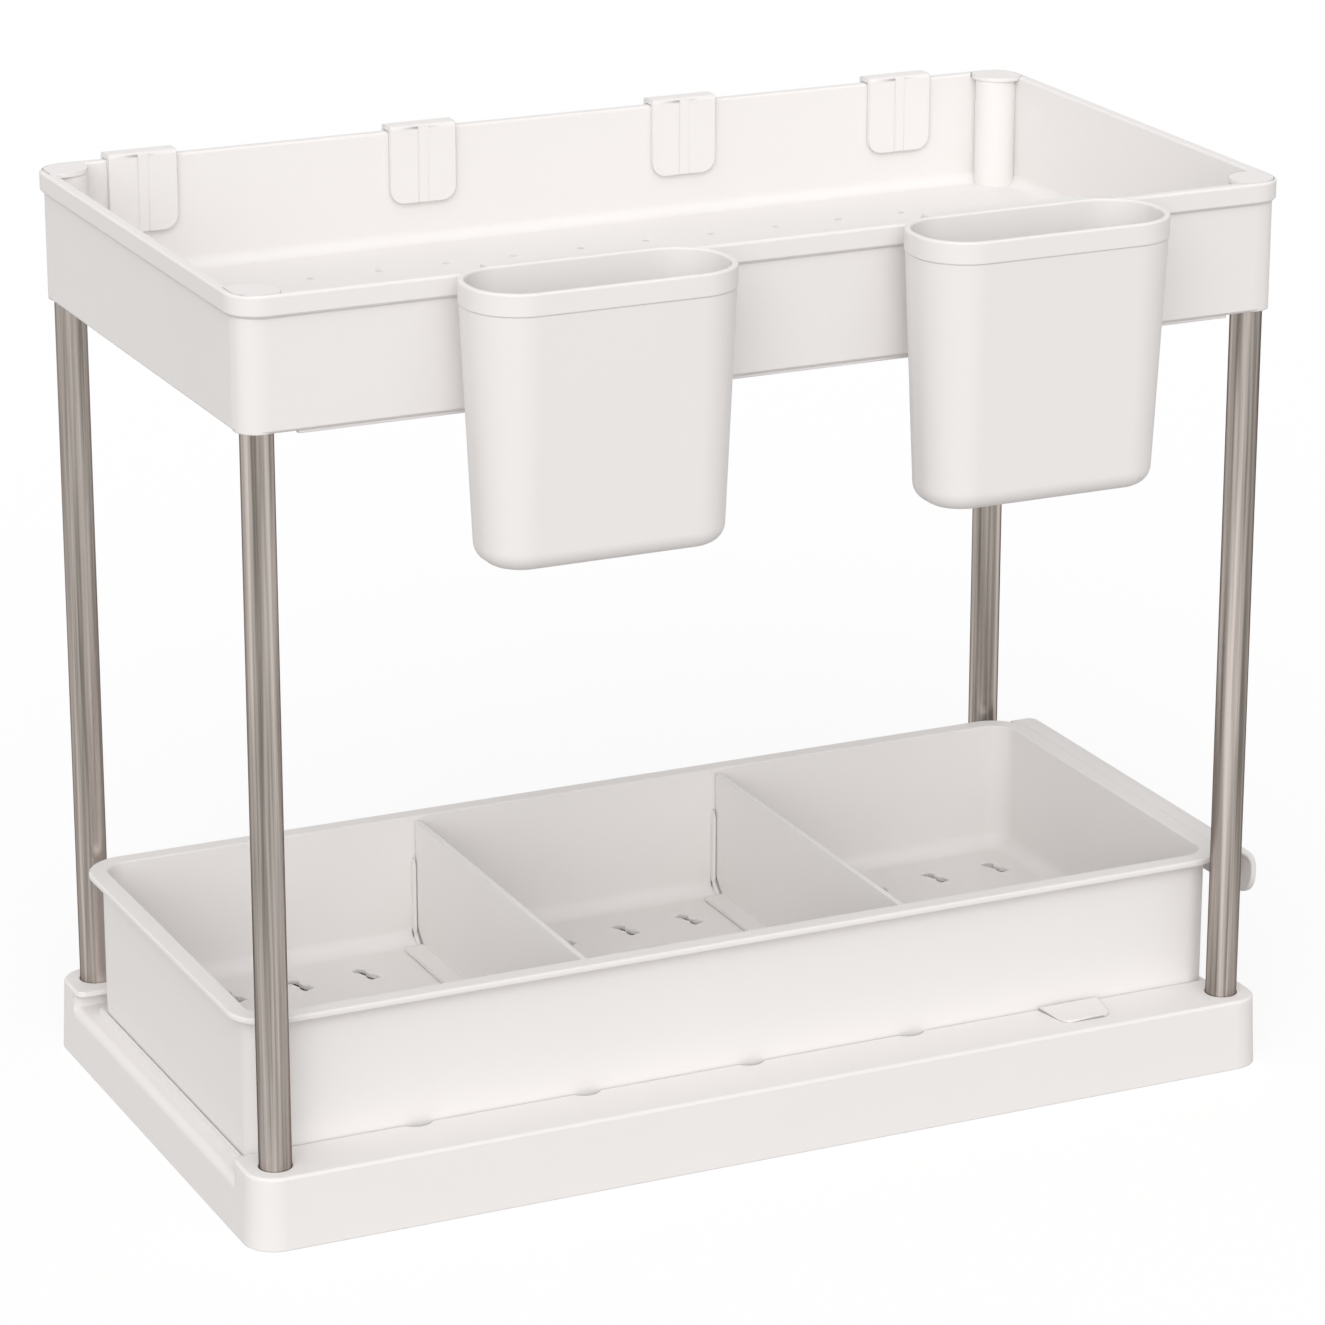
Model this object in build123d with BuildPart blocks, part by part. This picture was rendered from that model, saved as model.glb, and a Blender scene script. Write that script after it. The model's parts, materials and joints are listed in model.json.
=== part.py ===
from build123d import *
import math
import os

os.makedirs("parts", exist_ok=True)

# Two-tier organizer that stands under a sink. All lengths are millimetres.
# X runs along the long side, the cups hang on the -Y side, Z is up.
# The origin is on the floor, at the centre of the four posts.
# The drawer slides out towards +X.

# Arrangement
post_spacing_x = 415.0
post_spacing_y = 209.0
overall_height = 372.0
running_gap = 0.3
cut_overrun = 5.0
pick_reach = 0.01

# Steel posts
post_diameter = 12.7
post_wall = 0.8
socket_gap = 0.3

# Base frame
base_margin = 14.0
base_height = 29.5
base_draft = 1.3
base_corner_radius = 13.0
base_wall = 2.4
base_plate = 2.4
deck_height = 21.5
base_edge_chamfer = 1.0
sill_round = 3.5
sill_corner_round = 5.0
socket_floor = 3.0
socket_wall = 2.0
channel_height = 5.6
channel_reach = 4.8
channel_wall = 1.3
end_lip_height = 2.6
end_lip_thickness = 1.4
end_lip_gap = 0.6
end_lip_setback = 6.0
notch_radius = 7.1
notch_inset = 4.1
notch_pitch = 71.5
notch_count = 5
base_rib_thickness = 1.6
base_rib_pitch = 44.0
base_rib_count = 9
base_long_rib_pitch = 44.0
base_long_rib_count = 5

# Drawer
drawer_length = 422.0
drawer_depth = 180.0
drawer_height = 63.2
drawer_wall = 2.2
drawer_floor = 2.2
drawer_corner_radius = 12.0
drawer_floor_round = 7.0
drawer_foot_chamfer = 1.0
drawer_side_gap = 0.6
rim_overhang = 5.5
rim_thickness = 2.8
rim_edge_chamfer = 0.7
pull_reach = 16.0
pull_drop = 23.0
pull_thickness = 2.5
pull_bend_radius = 10.0
pull_half_length = 90.0
pull_corner_radius = 10.0
runner_reach = 4.3
runner_thickness = 1.6
lug_length = 18.0
lug_height = 4.9
drain_length = 10.0
drain_end_width = 4.6
drain_neck_length = 3.6
drain_neck_width = 2.6
drain_angle = -32.0
drain_pitch = 28.6
drain_rows = 5
drain_columns = 14
drain_divider_clearance = 8.0

# Dividers and the guides that hold them
bay_count = 3
divider_thickness = 1.8
divider_top_gap = 4.5
divider_end_gap = 0.35
divider_foot_width = 6.6
divider_foot_thickness = 1.6
divider_bottom_chamfer = 8.5
guide_rib_width = 1.6
guide_rib_depth = 2.0
guide_rib_height = 35.0
guide_rib_point = 3.0
guide_gap = 0.35

# Upper tray
tray_margin = 9.0
tray_height = 52.0
tray_corner_radius = 11.0
tray_wall = 2.8
tray_floor = 2.2
tray_floor_rise = 2.8
tray_floor_round = 5.0
tray_foot_chamfer = 1.0
band_height = 8.5
band_proud = 1.8
band_chamfer = 1.0
band_top_chamfer = 0.8
skirt_drop = 1.3
skirt_inset = 1.6
skirt_width = 2.4
skirt_end_setback = 13.5
column_wall = 1.95
tray_hole_radius = 1.6
tray_hole_sides = 6
tray_hole_pitch = 29.4
tray_hole_columns = 11
tray_hole_rows = 6
tray_rib_height = 2.2
tray_rib_thickness = 1.6
tray_rib_count = 4
tray_rib_stride = 3
tray_long_rib_count = 2
tray_long_rib_stride = 2

# Corner caps
cap_radius = 11.2
cap_shift = 1.8
cap_inset = 2.2
cap_corner_radius = 8.0
cap_seat_depth = 1.6
cap_thickness = 1.8
cap_fit_gap = 0.3
cap_nick_radius = 0.8
cap_spigot_length = 12.0
cap_spigot_gap = 0.2
cap_spigot_blade = 2.4
shoulder_thickness = 1.6

# Hanging cups
cup_length = 105.0
cup_depth = 44.0
cup_height = 106.0
cup_end_radius = 20.0
cup_taper = 4.5
cup_wall = 2.0
cup_floor = 2.2
cup_foot_round = 6.0
cup_foot_steps = 3
cup_corner_steps = 8
cup_band_height = 8.5
cup_band_proud = 0.9
cup_band_chamfer = 0.5
cup_lip_chamfer = 0.5
cup_hook_length = 68.0
cup_hook_thickness = 2.0
cup_hook_drop = 16.0
cup_hook_bend_round = 1.4
cup_hook_corner_radius = 5.0
cup_positions_x = (-87.0, 94.0)

# Clip hooks on the rear rim
hook_width = 28.6
hook_thickness = 2.1
hook_inner_drop = 34.5
hook_outer_drop = 30.0
hook_corner_chamfer = 3.5
hook_bend_round = 1.8
hook_groove_width = 4.4
hook_groove_depth = 0.5
hook_arm_width = 12.0
hook_arm_thickness = 3.6
hook_arm_drop = 46.0
hook_mouth_radius = 6.5
hook_tip_rise = 9.0
hook_positions_x = (-174.0, -54.0, 63.0, 163.5)

# Drawer stop that is pushed into one notch of the front ledge
stop_notch_index = 4
stop_rear_width = 34.0
stop_front_width = 26.0
stop_plate_reach = 17.0
stop_plate_thickness = 1.4
stop_corner_radius = 4.5
stop_wall_gap = 1.4
stop_leg_gap = 0.3
stop_leg_floor_gap = 0.7

# Places that follow from the sizes above
post_radius = post_diameter / 2
post_x = post_spacing_x / 2
post_y = post_spacing_y / 2
corners = [(sx, sy) for sy in (-1, 1) for sx in (-1, 1)]
corner_names = ["front_left", "front_right", "rear_left", "rear_right"]
post_points = [(sx * post_x, sy * post_y) for sx, sy in corners]
socket_radius = post_radius + socket_gap

base_half_x = post_x + base_margin
base_half_y = post_y + base_margin
base_taper = math.degrees(math.atan(base_draft / base_height))
base_inner_x = base_half_x - base_draft - base_wall
base_inner_y = base_half_y - base_draft - base_wall
deck_bottom = deck_height - base_plate
channel_top = deck_height + channel_height

drawer_half_x = drawer_length / 2
drawer_half_y = drawer_depth / 2
drawer_bottom = deck_height + running_gap
drawer_top = drawer_bottom + drawer_height
drawer_floor_top = drawer_bottom + drawer_floor
drawer_inner_x = drawer_half_x - drawer_wall
drawer_inner_y = drawer_half_y - drawer_wall
bay_width = 2 * drawer_inner_x / bay_count
divider_places_x = [bay_width * (i - bay_count / 2) for i in range(1, bay_count)]
runner_half_x = drawer_half_x - drawer_corner_radius
lug_front_x = lug_length - runner_half_x

well_half_y = drawer_half_y + drawer_side_gap
channel_half_y = well_half_y + channel_reach
notch_places_x = [notch_pitch * (i - (notch_count - 1) / 2) for i in range(notch_count)]
notch_y = well_half_y - notch_inset

tray_half_x = post_x + tray_margin
tray_half_y = post_y + tray_margin
tray_bottom = overall_height - tray_height
tray_floor_bottom = tray_bottom + tray_floor_rise
tray_floor_top = tray_floor_bottom + tray_floor
tray_inner_x = tray_half_x - tray_wall
tray_inner_y = tray_half_y - tray_wall
band_half_x = tray_half_x + band_proud
band_half_y = tray_half_y + band_proud
column_radius = socket_radius + column_wall
cap_seat = overall_height - cap_seat_depth
post_top = cap_seat - shoulder_thickness
spigot_radius = post_radius - post_wall - cap_spigot_gap


def centred_line(count, pitch):
    """Places of a row of features that is centred on zero."""
    return [pitch * (i - (count - 1) / 2) for i in range(count)]


def edges_at(builder, height):
    """Edges of the part under construction whose middle lies at a height."""
    return builder.edges().filter_by_position(Axis.Z, height - pick_reach, height + pick_reach)


def write_piece(part, name):
    """Label one finished piece and write it to its own file."""
    part.label = name
    export_step(part, f"parts/{name}.step")


# Base frame: a shallow inverted tray with a deck, two ledges and four sockets
with BuildPart() as base_frame:
    with BuildSketch():
        RectangleRounded(2 * base_half_x, 2 * base_half_y, base_corner_radius)
    extrude(amount=base_height, taper=base_taper)
    chamfer(base_frame.faces().sort_by(Axis.Z)[-1].edges(), base_edge_chamfer)

    # The well that the drawer runs in is open at both short ends
    with BuildSketch(Plane.XY.offset(deck_height)):
        Rectangle(2 * (base_half_x + cut_overrun), 2 * well_half_y)
    extrude(amount=base_height, mode=Mode.SUBTRACT)

    # Channels under the ledges, for the runners and lugs of the drawer
    with BuildSketch(Plane.XY.offset(deck_height)):
        Rectangle(2 * (base_half_x + cut_overrun), 2 * channel_half_y)
    extrude(amount=channel_height, mode=Mode.SUBTRACT)
    sill_edges = edges_at(base_frame, deck_height).filter_by(Axis.Y).sort_by(Axis.X)
    fillet([sill_edges[0], sill_edges[-1]], sill_round)

    # The ends of the ledges are rounded where they meet the open ends of the well
    with BuildSketch(Plane.XY.offset(deck_height + running_gap)):
        with Locations([
            (sx * (base_half_x - sill_corner_round / 2), sy * (well_half_y + sill_corner_round / 2))
            for sx, sy in corners
        ]):
            Rectangle(sill_corner_round, sill_corner_round)
        with Locations([
            (sx * (base_half_x - base_draft - sill_corner_round), sy * (well_half_y + sill_corner_round))
            for sx, sy in corners
        ]):
            Circle(sill_corner_round, mode=Mode.SUBTRACT)
    extrude(amount=base_height, mode=Mode.SUBTRACT)

    # Hollow underside, with a boss left round each socket
    with BuildSketch():
        RectangleRounded(2 * base_inner_x, 2 * base_inner_y, base_corner_radius - base_wall)
        with Locations(post_points):
            Circle(socket_radius + socket_wall, mode=Mode.SUBTRACT)
    extrude(amount=deck_bottom, mode=Mode.SUBTRACT)
    ledge_hollow_in = channel_half_y + channel_wall
    ledge_hollow_length = post_spacing_x - 2 * (socket_radius + socket_wall)
    with BuildSketch(Plane.XY.offset(deck_bottom)):
        with Locations([(0, side * (ledge_hollow_in + base_inner_y) / 2) for side in (-1, 1)]):
            Rectangle(ledge_hollow_length, base_inner_y - ledge_hollow_in)
    extrude(amount=base_height - deck_height, mode=Mode.SUBTRACT)

    # Stiffening ribs under the deck, which stand on the floor with the walls
    with BuildSketch():
        with Locations([(x, 0) for x in centred_line(base_rib_count, base_rib_pitch)]):
            Rectangle(base_rib_thickness, 2 * base_inner_y)
        with Locations([(0, y) for y in centred_line(base_long_rib_count, base_long_rib_pitch)]):
            Rectangle(2 * base_inner_x, base_rib_thickness)
    extrude(amount=deck_bottom)

    # Post sockets
    with BuildSketch(Plane.XY.offset(socket_floor)):
        with Locations(post_points):
            Circle(socket_radius)
    extrude(amount=base_height, mode=Mode.SUBTRACT)

    # Half-moon notches in the inner edges of the ledges
    with BuildSketch(Plane.XY.offset(channel_top - cut_overrun)):
        with Locations([(x, side * notch_y) for x in notch_places_x for side in (-1, 1)]):
            Circle(notch_radius)
    extrude(amount=base_height, mode=Mode.SUBTRACT)

    # Thin lip across the closed end, just behind the drawer
    lip_x = drawer_half_x + end_lip_gap + end_lip_thickness / 2
    with BuildSketch(Plane.XY.offset(deck_height)):
        with Locations((-lip_x, 0)):
            Rectangle(end_lip_thickness, 2 * (well_half_y - end_lip_setback))
    extrude(amount=end_lip_height)
write_piece(base_frame.part, "base_frame")


def build_post(centre_x, centre_y):
    """One straight steel tube, standing on the floor of its socket."""
    with BuildPart() as post:
        with BuildSketch(Plane((centre_x, centre_y, socket_floor))):
            Circle(post_radius)
            Circle(post_radius - post_wall, mode=Mode.SUBTRACT)
        extrude(amount=post_top - socket_floor)
    return post.part


for corner_name, (post_place_x, post_place_y) in zip(corner_names, post_points):
    write_piece(build_post(post_place_x, post_place_y), f"post_{corner_name}")


def cap_outline(sx, sy, gap):
    """Round cap outline, cut off parallel to the two outer sides of its corner."""
    with Locations((sx * (post_x + cap_shift), sy * (post_y + cap_shift))):
        Circle(cap_radius + gap)
    RectangleRounded(
        2 * (band_half_x - cap_inset + gap),
        2 * (band_half_y - cap_inset + gap),
        cap_corner_radius + gap,
        mode=Mode.INTERSECT,
    )


# Upper tray: open box with a proud rim band and a column in each corner
with BuildPart() as upper_tray:
    with BuildSketch(Plane.XY.offset(overall_height - band_height)):
        RectangleRounded(2 * band_half_x, 2 * band_half_y, tray_corner_radius + band_proud)
    extrude(amount=band_height)
    chamfer(upper_tray.edges().group_by(Axis.Z)[0], band_chamfer)
    with BuildSketch(Plane.XY.offset(tray_bottom)):
        RectangleRounded(2 * tray_half_x, 2 * tray_half_y, tray_corner_radius)
    extrude(amount=tray_height - band_height)
    chamfer(upper_tray.edges().group_by(Axis.Z)[0], tray_foot_chamfer)

    # Inside, with a rounded foot along the walls and a broken edge round the rim
    with BuildSketch(Plane.XY.offset(tray_floor_top)):
        RectangleRounded(2 * tray_inner_x, 2 * tray_inner_y, tray_corner_radius - tray_wall)
    extrude(amount=tray_height, mode=Mode.SUBTRACT)
    fillet(edges_at(upper_tray, tray_floor_top), tray_floor_round)
    chamfer(edges_at(upper_tray, overall_height), band_top_chamfer)

    # Recess under the floor, stiffening ribs and the deeper skirts of the long sides
    with BuildSketch(Plane.XY.offset(tray_bottom)):
        RectangleRounded(2 * tray_inner_x, 2 * tray_inner_y, tray_corner_radius - tray_wall)
    extrude(amount=tray_floor_rise, mode=Mode.SUBTRACT)
    with BuildSketch(Plane.XY.offset(tray_floor_bottom - tray_rib_height)):
        with Locations([(x, 0) for x in centred_line(tray_rib_count, tray_rib_stride * tray_hole_pitch)]):
            Rectangle(tray_rib_thickness, 2 * tray_inner_y)
        long_rib_pitch = tray_long_rib_stride * tray_hole_pitch
        with Locations([(0, y) for y in centred_line(tray_long_rib_count, long_rib_pitch)]):
            Rectangle(2 * tray_inner_x, tray_rib_thickness)
    extrude(amount=tray_rib_height)
    skirt_y = tray_half_y - skirt_inset - skirt_width / 2
    with BuildSketch(Plane.XY.offset(tray_bottom - skirt_drop)):
        with Locations([(0, side * skirt_y) for side in (-1, 1)]):
            Rectangle(2 * (post_x - skirt_end_setback), skirt_width)
    extrude(amount=skirt_drop + tray_floor_rise)

    # Corner columns, the bores for the posts and the shoulders that rest on them
    with BuildSketch(Plane.XY.offset(tray_bottom)):
        with Locations(post_points):
            Circle(column_radius)
    extrude(amount=cap_seat - tray_bottom)
    for sx, sy in corners:
        with BuildSketch(Plane.XY.offset(cap_seat)):
            cap_outline(sx, sy, cap_fit_gap)
        extrude(amount=cap_seat_depth, mode=Mode.SUBTRACT)
    with BuildSketch(Plane.XY.offset(tray_bottom)):
        with Locations(post_points):
            Circle(socket_radius)
    extrude(amount=post_top - tray_bottom, mode=Mode.SUBTRACT)
    with BuildSketch(Plane.XY.offset(post_top)):
        with Locations(post_points):
            Circle(spigot_radius + cap_spigot_gap)
    extrude(amount=shoulder_thickness, mode=Mode.SUBTRACT)

    # Drain holes in the floor
    with BuildSketch(Plane.XY.offset(tray_floor_bottom)):
        with GridLocations(tray_hole_pitch, tray_hole_pitch, tray_hole_columns, tray_hole_rows):
            RegularPolygon(tray_hole_radius, tray_hole_sides)
    extrude(amount=tray_floor, mode=Mode.SUBTRACT)
write_piece(upper_tray.part, "upper_tray")


def build_cap(sx, sy):
    """One corner cap: a flush plate with a cross-shaped spigot that plugs into the tube."""
    with BuildPart() as cap:
        with BuildSketch(Plane.XY.offset(cap_seat)):
            cap_outline(sx, sy, 0)
            corner_reach = cap_inset + cap_corner_radius - cap_corner_radius / math.sqrt(2)
            with Locations((sx * (band_half_x - corner_reach), sy * (band_half_y - corner_reach))):
                Circle(cap_nick_radius, mode=Mode.SUBTRACT)
        extrude(amount=cap_thickness)
        with BuildSketch(Plane((sx * post_x, sy * post_y, cap_seat - cap_spigot_length))):
            Rectangle(2 * spigot_radius, cap_spigot_blade)
            Rectangle(cap_spigot_blade, 2 * spigot_radius)
        extrude(amount=cap_spigot_length)
    return cap.part


for corner_name, (sx, sy) in zip(corner_names, corners):
    write_piece(build_cap(sx, sy), f"cap_{corner_name}")


def drain_outline():
    """Slanting drain hole: two wider ends joined by a short neck."""
    quarter = [(drain_length / 2, drain_end_width / 2), (drain_neck_length / 2, drain_neck_width / 2)]
    upper = quarter + [(-x, y) for x, y in reversed(quarter)]
    lower = [(x, -y) for x, y in reversed(upper)]
    with Locations(Location((0, 0, 0), (0, 0, drain_angle))):
        Polygon(*upper, *lower, align=None)


# Drawer: flanged open box with runners, guide ribs and a hooked pull along one end
with BuildPart() as drawer:
    with BuildSketch(Plane.XY.offset(drawer_top - rim_thickness)):
        RectangleRounded(
            2 * (drawer_half_x + rim_overhang),
            2 * (drawer_half_y + rim_overhang),
            drawer_corner_radius + rim_overhang,
        )
    extrude(amount=rim_thickness)
    rim_edges = drawer.edges().group_by(Axis.Z)[0] + drawer.edges().group_by(Axis.Z)[-1]
    chamfer(rim_edges, rim_edge_chamfer)

    # Hooked finger pull: the rim runs out, bends down and hangs as a lip
    pull_x = drawer_half_x + rim_overhang + pull_reach
    bend_x = pull_x - pull_bend_radius
    bend_z = drawer_top - pull_bend_radius
    inner_bend_radius = pull_bend_radius - pull_thickness
    diagonal = math.sqrt(2) / 2
    with BuildSketch(Plane.XZ):
        with BuildLine():
            top = Line((drawer_half_x - drawer_wall / 2, drawer_top), (bend_x, drawer_top))
            bend = ThreePointArc(
                top @ 1,
                (bend_x + pull_bend_radius * diagonal, bend_z + pull_bend_radius * diagonal),
                (pull_x, bend_z),
            )
            lip = Line(bend @ 1, (pull_x, drawer_top - pull_drop))
            end = Line(lip @ 1, (pull_x - pull_thickness, drawer_top - pull_drop))
            back = Line(end @ 1, (pull_x - pull_thickness, bend_z))
            inner_bend = ThreePointArc(
                back @ 1,
                (bend_x + inner_bend_radius * diagonal, bend_z + inner_bend_radius * diagonal),
                (bend_x, drawer_top - pull_thickness),
            )
            under = Line(inner_bend @ 1, (drawer_half_x - drawer_wall / 2, drawer_top - pull_thickness))
            Line(under @ 1, top @ 0)
        make_face()
    extrude(amount=pull_half_length, both=True)
    fillet(edges_at(drawer, drawer_top - pull_drop).filter_by(Axis.X), pull_corner_radius)

    # Body and inside, with generous rounding along the floor
    with BuildSketch(Plane.XY.offset(drawer_bottom)):
        RectangleRounded(2 * drawer_half_x, 2 * drawer_half_y, drawer_corner_radius)
    extrude(amount=drawer_height - rim_thickness)
    chamfer(drawer.edges().group_by(Axis.Z)[0], drawer_foot_chamfer)
    with BuildSketch(Plane.XY.offset(drawer_floor_top)):
        RectangleRounded(2 * drawer_inner_x, 2 * drawer_inner_y, drawer_corner_radius - drawer_wall)
    extrude(amount=drawer_height, mode=Mode.SUBTRACT)
    fillet(edges_at(drawer, drawer_floor_top), drawer_floor_round)

    # Runners along the foot of the long sides, with a taller lug at the rear end
    with BuildSketch(Plane.XY.offset(drawer_bottom)):
        with Locations([(0, side * (drawer_half_y + runner_reach / 2 - drawer_wall / 2)) for side in (-1, 1)]):
            Rectangle(2 * runner_half_x, runner_reach + drawer_wall)
    extrude(amount=runner_thickness)
    with BuildSketch(Plane.XY.offset(drawer_bottom)):
        with Locations([
            (lug_front_x - lug_length / 2, side * (drawer_half_y + runner_reach / 2 - drawer_wall / 2))
            for side in (-1, 1)
        ]):
            Rectangle(lug_length, runner_reach + drawer_wall)
    extrude(amount=lug_height)

    # Pairs of pointed guide ribs that hold each divider at both ends
    guide_offset = divider_thickness / 2 + guide_gap + guide_rib_width / 2
    for side in (-1, 1):
        with BuildSketch(Plane.XZ.offset(-side * (drawer_inner_y - guide_rib_depth))):
            for divider_x in divider_places_x:
                for step in (-1, 1):
                    rib_x = divider_x + step * guide_offset
                    with Locations((rib_x, drawer_floor_top + guide_rib_height / 2)):
                        Rectangle(guide_rib_width, guide_rib_height)
                    with BuildLine():
                        Polyline(
                            (rib_x - guide_rib_width / 2, drawer_floor_top + guide_rib_height),
                            (rib_x, drawer_floor_top + guide_rib_height + guide_rib_point),
                            (rib_x + guide_rib_width / 2, drawer_floor_top + guide_rib_height),
                            close=True,
                        )
                    make_face()
        extrude(amount=-side * (guide_rib_depth + drawer_wall / 2))

    # Drain holes in the floor, left out under the dividers
    drain_points = [
        (x, y)
        for x in centred_line(drain_columns, drain_pitch)
        for y in centred_line(drain_rows, drain_pitch)
        if min(abs(x - divider_x) for divider_x in divider_places_x) > drain_divider_clearance
    ]
    with BuildSketch(Plane.XY.offset(drawer_bottom)):
        with Locations(drain_points):
            drain_outline()
    extrude(amount=drawer_floor, mode=Mode.SUBTRACT)
write_piece(drawer.part, "drawer")


def build_divider(centre_x):
    """One lift-out divider: a thin plate with a foot along the floor."""
    half_length = drawer_inner_y - divider_end_gap
    bottom = drawer_floor_top + running_gap
    top = drawer_top - divider_top_gap
    with BuildPart() as divider:
        with BuildSketch(Plane.YZ.offset(centre_x - divider_thickness / 2)):
            with BuildLine():
                Polyline(
                    (-half_length, top),
                    (half_length, top),
                    (half_length, bottom + divider_bottom_chamfer),
                    (half_length - divider_bottom_chamfer, bottom),
                    (divider_bottom_chamfer - half_length, bottom),
                    (-half_length, bottom + divider_bottom_chamfer),
                    close=True,
                )
            make_face()
        extrude(amount=divider_thickness)
        foot_x = centre_x + divider_thickness / 2 - divider_foot_width / 2
        with BuildSketch(Plane.XY.offset(bottom)):
            with Locations((foot_x, 0)):
                Rectangle(divider_foot_width, 2 * (half_length - divider_bottom_chamfer))
        extrude(amount=divider_foot_thickness)
    return divider.part


for divider_name, divider_x in zip(("divider_left", "divider_right"), divider_places_x):
    write_piece(build_divider(divider_x), divider_name)


def cup_outline(inset):
    """Outline of a cup, with each round end of its sides in short equal steps."""
    half_x = cup_length / 2 - inset
    half_y = cup_depth / 2 - inset
    radius = cup_end_radius - inset
    points = []
    for quarter, (sx, sy) in enumerate([(1, 1), (-1, 1), (-1, -1), (1, -1)]):
        for step in range(cup_corner_steps + 1):
            turn = math.radians(90) * (quarter + step / cup_corner_steps)
            points.append((
                sx * (half_x - radius) + radius * math.cos(turn),
                sy * (half_y - radius) + radius * math.sin(turn),
            ))
    Polygon(*points, align=None)


def cup_sections():
    """Depth and inset of the outer sections of a cup, with a stepped round at its foot."""
    straight = cup_height - cup_foot_round
    inset_at_foot = cup_taper * straight / cup_height
    sections = [(0, 0)]
    for step in range(cup_foot_steps + 1):
        turn = math.radians(90) * step / cup_foot_steps
        depth = straight + cup_foot_round * math.sin(turn)
        inset = inset_at_foot + cup_foot_round * (1 - math.cos(turn))
        sections.append((depth, inset))
    return sections


def build_cup(centre_x):
    """One tapered cup that hangs on the rim by a folded tongue."""
    cup_top = overall_height + running_gap + cup_hook_thickness
    back_y = -(band_half_y + running_gap + cup_band_proud)
    centre_y = back_y - cup_depth / 2
    downwards = Plane((centre_x, centre_y, cup_top), z_dir=(0, 0, -1))
    inner_depth = cup_height - cup_floor
    inner_taper = cup_taper * inner_depth / cup_height
    leg_inner_y = -(tray_inner_y - running_gap - cup_hook_thickness)
    leg_outer_y = -(tray_inner_y - running_gap)
    leg_bottom = cup_top - cup_hook_drop
    with BuildPart() as cup:
        with BuildSketch(downwards):
            cup_outline(-cup_band_proud)
        extrude(amount=cup_band_height)
        chamfer(cup.edges().group_by(Axis.Z)[0], cup_band_chamfer)
        for depth, inset in cup_sections():
            with BuildSketch(downwards.offset(depth)):
                cup_outline(inset)
        loft(ruled=True)
        for depth, inset in ((0, cup_wall), (inner_depth, cup_wall + inner_taper)):
            with BuildSketch(downwards.offset(depth)):
                cup_outline(inset)
        loft(ruled=True, mode=Mode.SUBTRACT)
        chamfer(edges_at(cup, cup_top), cup_lip_chamfer)

        # Tongue over the rim of the tray and its leg inside the wall
        with BuildSketch(Plane.YZ.offset(centre_x)):
            with BuildLine():
                Polyline(
                    (back_y - cup_wall, cup_top),
                    (leg_inner_y, cup_top),
                    (leg_inner_y, leg_bottom),
                    (leg_outer_y, leg_bottom),
                    (leg_outer_y, overall_height + running_gap),
                    (back_y - cup_wall, overall_height + running_gap),
                    close=True,
                )
            make_face()
        extrude(amount=cup_hook_length / 2, both=True)
        fillet(cup.edges().filter_by(Axis.X).group_by(Axis.Y)[-1].sort_by(Axis.Z)[-1], cup_hook_bend_round)
        fillet(edges_at(cup, leg_bottom).filter_by(Axis.Y), cup_hook_corner_radius)
    return cup.part


for cup_name, cup_x in zip(("cup_left", "cup_right"), cup_positions_x):
    write_piece(build_cup(cup_x), cup_name)


def build_hook(centre_x):
    """One clip hook: a saddle over the rear rim with an upturned arm outside."""
    under = overall_height + running_gap
    top = under + hook_thickness
    inner_y = tray_inner_y - running_gap - hook_thickness
    outer_y = band_half_y + running_gap
    arm_y = outer_y + hook_arm_thickness
    mouth_y = arm_y + hook_mouth_radius
    mouth_z = top - hook_arm_drop
    bend_outer = hook_mouth_radius + hook_arm_thickness
    with BuildPart() as hook:
        with BuildSketch(Plane.YZ.offset(centre_x)):
            with BuildLine():
                Polyline(
                    (inner_y, top - hook_inner_drop),
                    (inner_y, top),
                    (outer_y + hook_thickness, top),
                    (outer_y + hook_thickness, top - hook_outer_drop),
                    (outer_y, top - hook_outer_drop),
                    (outer_y, under),
                    (inner_y + hook_thickness, under),
                    (inner_y + hook_thickness, top - hook_inner_drop),
                    close=True,
                )
            make_face()
        extrude(amount=hook_width / 2, both=True)
        bends = hook.edges().filter_by(Axis.X).group_by(Axis.Z)[-1]
        fillet(bends, hook_bend_round)
        chamfer(edges_at(hook, top - hook_inner_drop).filter_by(Axis.Y), hook_corner_chamfer)

        # Shallow groove down the middle of the inner tab
        with BuildSketch(Plane.XZ.offset(-inner_y)):
            with Locations((centre_x, top - hook_inner_drop / 2)):
                Rectangle(hook_groove_width, hook_inner_drop)
        extrude(amount=-hook_groove_depth, mode=Mode.SUBTRACT)

        # Arm that carries the load, with a rounded mouth and tip
        with BuildSketch(Plane.YZ.offset(centre_x)):
            with BuildLine():
                back = Line((outer_y, top - hook_thickness), (outer_y, mouth_z))
                heel = ThreePointArc(
                    back @ 1, (mouth_y, mouth_z - bend_outer), (mouth_y + bend_outer, mouth_z)
                )
                face = Line(heel @ 1, (mouth_y + bend_outer, mouth_z + hook_tip_rise))
                tip = ThreePointArc(
                    face @ 1,
                    (mouth_y + bend_outer - hook_arm_thickness / 2,
                     mouth_z + hook_tip_rise + hook_arm_thickness / 2),
                    (mouth_y + hook_mouth_radius, mouth_z + hook_tip_rise),
                )
                inside = Line(tip @ 1, (mouth_y + hook_mouth_radius, mouth_z))
                mouth = ThreePointArc(inside @ 1, (mouth_y, mouth_z - hook_mouth_radius), (arm_y, mouth_z))
                front = Line(mouth @ 1, (arm_y, top - hook_thickness))
                Line(front @ 1, back @ 0)
            make_face()
        extrude(amount=hook_arm_width / 2, both=True)
    return hook.part


for hook_number, hook_x in enumerate(hook_positions_x, start=1):
    write_piece(build_hook(hook_x), f"hook_{hook_number}")

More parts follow.
